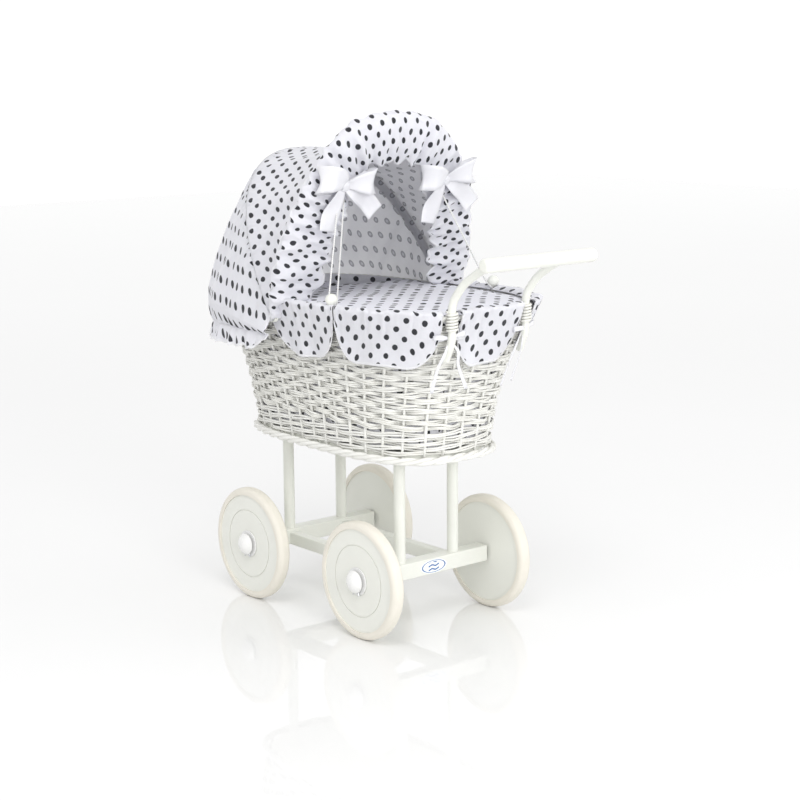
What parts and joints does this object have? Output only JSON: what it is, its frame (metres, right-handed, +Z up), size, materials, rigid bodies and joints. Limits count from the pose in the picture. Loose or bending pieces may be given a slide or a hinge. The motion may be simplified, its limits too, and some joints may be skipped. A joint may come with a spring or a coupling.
{
  "type": "doll stroller",
  "caption": "Wicker doll pram on a wooden chassis with disc wheels, a folding fabric hood, bedding and a push handle.",
  "frame": {"origin": "on the floor, under the middle of the pram's box", "axes": "+X to the right of someone pushing it, +Y towards the hood end, +Z up"},
  "size_m": [0.3, 0.5584, 0.622],
  "materials": {
    "painted_wood": "satin white paint over beech",
    "painted_wicker": "satin white paint over willow",
    "tyre": "cream rubber, matt",
    "dotted_cotton": "white cotton printed with black dots",
    "bare_steel": "bright zinc plate",
    "white_plastic": "white, semi-gloss",
    "badge_enamel": "printed oval label",
    "lining_cotton": "white cotton lining",
    "satin_ribbon": "white satin ribbon",
    "white_cord": "white twisted cotton cord",
    "mattress_ticking": "white cotton ticking over foam"
  },
  "bodies": {
    "root": {"arm_binding_left": "painted_wicker", "arm_binding_right": "painted_wicker", "axle_spacers": "bare_steel", "axle_split_pins": "bare_steel", "axle_washers": "white_plastic", "badge": "badge_enamel", "base_screws": "bare_steel", "basket_base": "painted_wood", "basket_foot_border": "painted_wicker", "basket_rim_border": "painted_wicker", "basket_wall": "painted_wicker", "cord_knob_left": "painted_wood", "cord_knob_right": "painted_wood", "front_axle_beam": "painted_wood", "front_axle_rod": "bare_steel", "front_left_post": "painted_wood", "front_right_post": "painted_wood", "handle_arm_left": "painted_wood", "handle_arm_right": "painted_wood", "handle_grip": "painted_wood", "hood_back_panel": "dotted_cotton", "hood_bolts": "bare_steel", "hood_cord_left": "white_cord", "hood_cord_right": "white_cord", "hub_caps": "white_plastic", "left_side_rail": "painted_wood", "liner": "lining_cotton", "mattress": "mattress_ticking", "pillow": "dotted_cotton", "quilt": "dotted_cotton", "rear_axle_beam": "painted_wood", "rear_axle_rod": "bare_steel", "rear_left_post": "painted_wood", "rear_right_post": "painted_wood", "right_side_rail": "painted_wood", "skirt_left": "dotted_cotton", "skirt_rear": "dotted_cotton", "skirt_right": "dotted_cotton", "tie_ribbon_left": "satin_ribbon", "tie_ribbon_right": "satin_ribbon"},
    "front_left_wheel": {"front_left_tyre": "tyre", "front_left_disc": "painted_wood", "front_left_bush": "bare_steel"},
    "front_right_wheel": {"front_right_tyre": "tyre", "front_right_disc": "painted_wood", "front_right_bush": "bare_steel"},
    "rear_left_wheel": {"rear_left_tyre": "tyre", "rear_left_disc": "painted_wood", "rear_left_bush": "bare_steel"},
    "rear_right_wheel": {"rear_right_tyre": "tyre", "rear_right_disc": "painted_wood", "rear_right_bush": "bare_steel"},
    "hood_rear": {"hood_rear_hoop": "painted_wood", "hood_mid_panel": "dotted_cotton"},
    "hood_front": {"hood_front_hoop": "painted_wood", "hood_front_panel": "dotted_cotton", "hood_frill": "dotted_cotton", "ribbon_bow_left": "satin_ribbon", "ribbon_bow_right": "satin_ribbon"}
  },
  "joints": [
    {"name": "front_left_wheel_spin", "type": "hinge", "parent": "root", "child": "front_left_wheel", "pos_m": [-0.1013, 0.1495, 0.072], "axis": [1, 0, 0], "continuous": true},
    {"name": "front_right_wheel_spin", "type": "hinge", "parent": "root", "child": "front_right_wheel", "pos_m": [0.1013, 0.1495, 0.072], "axis": [1, 0, 0], "continuous": true},
    {"name": "rear_left_wheel_spin", "type": "hinge", "parent": "root", "child": "rear_left_wheel", "pos_m": [-0.1013, -0.0755, 0.072], "axis": [1, 0, 0], "continuous": true},
    {"name": "rear_right_wheel_spin", "type": "hinge", "parent": "root", "child": "rear_right_wheel", "pos_m": [0.1013, -0.0755, 0.072], "axis": [1, 0, 0], "continuous": true},
    {"name": "hood_fold", "type": "hinge", "parent": "root", "child": "hood_rear", "pos_m": [0, 0.042, 0.38], "axis": [-1, 0, 0], "range_deg": [0, 32]},
    {"name": "hood_front_fold", "type": "hinge", "parent": "hood_rear", "child": "hood_front", "pos_m": [0, 0.042, 0.38], "axis": [-1, 0, 0], "range_deg": [0, 28.5]}
  ],
  "couplings": [
    {"joint": "hood_front_fold", "follows": "hood_fold", "ratio": 0.89062}
  ]
}
